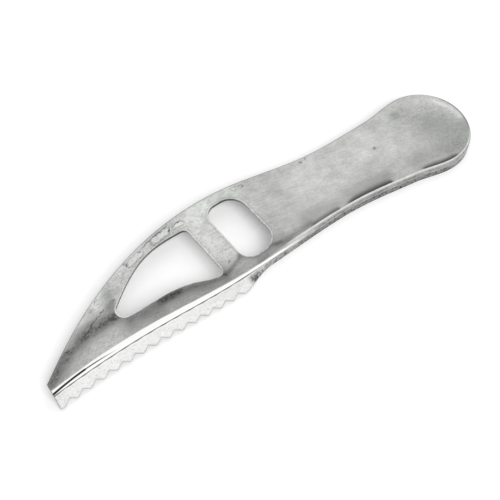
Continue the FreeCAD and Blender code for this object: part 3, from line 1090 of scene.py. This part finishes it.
# painted shade: how much of the wide slope above the teeth is darkened
slope_painted_shade = on_front * inset.ramp(13.0, 5.0) * (0.45 + x_mm.ramp(26.0, 42.0) * 0.55) \
    * x_mm.ramp(92.0, 74.0)
print("patterns, marks and masks:", len(metal.node_tree.nodes), "nodes")

# %% [markdown]
# ## Tone, layer by layer
# A painter would lay this metal down the same way: first the broad grey with its clouds and fine grain,
# then stains and painted shade that darken it, and over that, one by one, the skirt, the flange, the
# painted highlight on the shoulder and the lines, most of which are painted highlights and painted shade.
# Each layer is a pair of a mask and a tone, and covers the layers before it.

# %% The broad faces: clouds, grain, stains, marks and painted shade
dull, skirt_base, flange_base, highlight_tone = 0.57, 0.34, 0.88, 0.98

streaks = noise_of(along_edge, 1.0, 3.0, 0.6)
scuffs = noise_of(at_mm(x_mm * 1.1 + y_mm * 0.9, y_mm * 2.2 - x_mm * 0.5, z_mm), 1.0, 3.0, 0.65)
scuffs = scuffs.ramp(0.02, 0.16)
shaded = joined_marks([crest_shade(a, b, depth) * share for a, b, depth, share in crest_shades]) * on_front
fine = grain * 0.24 + brushed * 0.20 + crossed * 0.12
pits = grain.ramp(0.08, 0.24)
tone = dull + cloud * 0.46 + blotch * 0.34 + mottle * 0.20 + fine * (1.0 + blade * 0.5)
tone = tone + grain * (blade + far_end) * 0.32 - pits * (blade * 0.16 + far_end * 0.06 + 0.02)
# painted shade: the slope above the teeth is darkened by up to a third
tone = tone * (1.0 - slope_painted_shade * 0.34) + streaks * 0.2 * x_mm.ramp(60.0, 30.0)
# grime and painted shade from the plan darken the tone
tone = tone * (1.0 - (grime_and_shade * (1.0 + blotch * 1.1 + mottle * 0.8 + grain * 1.4 * blade)).clamp() * 0.86)
tone = tone + bright * (0.10 + blotch * 0.15 + streaks * 0.2) + (peeled * 0.07 + scratched * 0.05)
tone = tone * (1.0 - (peeled_rim * 0.50 + cracks * 0.58 + speckled * 0.55).clamp())
# painted shade on the handle's front roll, above its crest
tone = tone * (1.0 - shaded * 0.85)
print("broad faces:", len(metal.node_tree.nodes), "nodes")

# %% The layers over them
skirt_tone = skirt_base + mottle * 0.4 + brushed * 0.6 + grain * 0.3
# below the fold the skirt is darkened by a quarter, more in scuffs and more still near its bottom edge
skirt_darkening = (0.25 + scuffs * 0.85 + z_mm.ramp(0.8, 0.3) * 0.4).clamp()
skirt_tone = skirt_tone * (1.0 - z_mm.ramp(3.1, 2.7) * skirt_darkening)
flange_tone = flange_base + blotch * 0.12 + mottle * 0.24 + grain * 0.34 - scuffs * 0.16 \
    - (grime_and_shade * (1.0 + mottle * 3.0)).clamp() * 0.75
layers = [
    (low_skirt, skirt_tone),
    # painted highlights: a bright line on the handle's crest, and a fainter one at its fold
    (crest * 0.85, 0.80 + mottle * 0.5),
    (fold * 0.5, 0.62 + mottle * 0.8),
    # painted shade along the back bend and round the end's bend
    ((back_rim * 0.6 + end_rim * 0.8).clamp(), 0.2),
    # the flange's near-white tone is painted light from the bright floor that it faces; its scuffs and
    # grime are in the metal
    (on_flange, flange_tone),
    # painted highlight: a bright line along the small bead below the crease
    (bead * on_front * 0.7, 0.97),
    # painted highlight along the shoulder above the teeth
    (shoulder_highlight, highlight_tone + mottle * 0.03),
    # painted shade: a dark line inside the highlight near the tip
    (tip_shade_line, 0.03),
    # painted shade: a dark line along the crease above the flange
    (crease * on_front * blade_share * 0.95, 0.10),
    # painted shade: a dark line beside the openings' edges, from the leaf's middle on
    (beside * (0.35 + streaks * 2.0).clamp() * x_mm.ramp(42.0, 56.0), 0.22),
    # painted highlight on the rounded edges, strongest at the leaf's left end
    (edge_highlight * (0.25 + mottle * 1.6 + x_mm.ramp(46.0, 34.0) * 0.75).clamp(), 0.97),
    # painted shade on the sheet's cut faces
    (cut * 0.95, 0.06),
]
for share, over in layers:
    tone = tone + share * (over - tone)
# painted shade: the inner face, under the shell, is 12% darker
tone = tone * (1.0 - under * 0.12)
print("layers:", len(layers))

# %% Colour, roughness and relief
relief_depth = 0.00003
clear = tone.clamp()
neutral = clear.node("ShaderNodeCombineColor", None, {0: clear, 1: clear, 2: clear * 0.988})
greenish = clear.node("ShaderNodeCombineColor", None, {0: clear * 0.91, 1: clear * 0.97, 2: clear * 0.90})
stained = (green * (0.7 + blotch * 2.0) * (1.0 - shoulder_highlight) * (1.0 - on_flange)).clamp()
roughness = 0.34 + blotch * 0.10 + mottle * 0.08 + grime_and_shade * 0.12 - shoulder_highlight * 0.16 - edge_highlight * 0.10
relief = clear.node("ShaderNodeBump", None, {"Strength": 0.35, "Distance": relief_depth,
                                              "Height": grain * 0.6 + mottle * 1.2 + brushed * 0.8})
surface.feed(metal.node_tree.nodes["Principled BSDF"], {
    "Base Color": stained.mix(neutral, greenish), "Metallic": 1.0,
    "Roughness": roughness.clamp(), "Normal": relief})
scaler.data.materials.append(metal)
print("finish:", len(metal.node_tree.nodes), "nodes")

# %% [markdown]
# ## Floor, light and camera
# The scaler lies on white paper. A mirror-like metal shows whatever stands round it, so more lamps would
# only add glare. Instead the world is plain white to the camera and to the metal, and a darker grey to
# matt surfaces, so that the paper keeps a soft shadow. Two large softboxes, which the metal doesn't
# mirror, give the shadow its direction. The camera looks down from the same side as in the photograph.

# %% Camera
camera_at = (-0.1094, -0.1500, 0.2821)
camera_tilt, camera_turn = 32.0, -34.29
lens_mm, sensor_mm = 61.2, 36.0

camera_data = bpy.data.cameras.new("camera")
camera_data.lens = lens_mm
camera_data.sensor_width = sensor_mm
camera = bpy.data.objects.new("camera", camera_data)
camera.location = camera_at
camera.rotation_euler = (math.radians(camera_tilt), 0.0, math.radians(camera_turn))
bpy.context.scene.collection.objects.link(camera)
bpy.context.scene.camera = camera
print("camera at, mm:", [round(c / MM, 1) for c in camera_at])

# %% White paper that keeps a shadow
paper_half = 0.45
paper_glow = 0.21

floor_mesh = bpy.data.meshes.new("paper")
corners = [(-1, -1), (1, -1), (1, 1), (-1, 1)]
floor_mesh.from_pydata([(x * paper_half, y * paper_half, 0.0) for x, y in corners], [], [(0, 1, 2, 3)])
floor = bpy.data.objects.new("paper", floor_mesh)
bpy.context.scene.collection.objects.link(floor)
floor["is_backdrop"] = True

paper = bpy.data.materials.new("white_paper")
paper.use_nodes = True
paper_look = Shade(paper.node_tree)
seen = paper_look.node("ShaderNodeLightPath", output="Is Camera Ray")
mirrored = paper_look.node("ShaderNodeLightPath", output="Is Glossy Ray")
glow = (seen + mirrored).clamp() * paper_glow
paper_look.feed(paper.node_tree.nodes["Principled BSDF"], {
    "Base Color": (0.9, 0.9, 0.9, 1.0), "Roughness": 0.9, "Specular IOR Level": 0.0,
    "Emission Color": glow.node("ShaderNodeCombineColor", None, {0: glow, 1: glow, 2: glow}),
    "Emission Strength": 1.0})
floor_mesh.materials.append(paper)
print("paper:", 2.0 * paper_half, "m wide")

# %% A white world for the eye, a grey one for matt surfaces
world_light = 0.53
grey, white = (world_light, world_light, world_light, 1.0), (1.0, 1.0, 1.0, 1.0)
world = bpy.data.worlds.new("studio")
bpy.context.scene.world = world
world.use_nodes = True
air = Shade(world.node_tree)
eye = air.node("ShaderNodeLightPath", output="Is Camera Ray")
gloss = air.node("ShaderNodeLightPath", output="Is Glossy Ray")
through = air.node("ShaderNodeLightPath", output="Is Transmission Ray")
sky = (eye + gloss + through).clamp().mix(grey, white)
air.feed(world.node_tree.nodes["Background"], {"Color": sky})
bpy.context.scene.view_settings.view_transform = "Standard"
print("world's light on matt surfaces:", world_light)


# %% Two softboxes
lamp_distance, lamp_size = 3.0, 1.7


def softbox(name, direction, watts):
    """A square lamp that looks at the middle of the part."""
    data = bpy.data.lights.new(name, "AREA")
    data.size = lamp_size
    data.energy = watts
    lamp = bpy.data.objects.new(name, data)
    away = Vector(direction).normalized()
    lamp.location = away * lamp_distance
    lamp.rotation_euler = away.to_track_quat("Z", "Y").to_euler()
    lamp.visible_glossy = False
    bpy.context.scene.collection.objects.link(lamp)


softbox("key_softbox", (0.1, -1.0, 1.25), 46.0)
softbox("side_softbox", (0.9, 0.5, 1.2), 10.0)
print("softboxes:", len(bpy.data.lights))

# %% Sizes of the frame and of what is shown
size = {"cad": [list(v) for v in cad_bounds], "visual": [list(v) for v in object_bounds()]}
for name, box in size.items():
    print(name, "box, mm:", [[round(c / MM, 2) for c in corner] for corner in box])
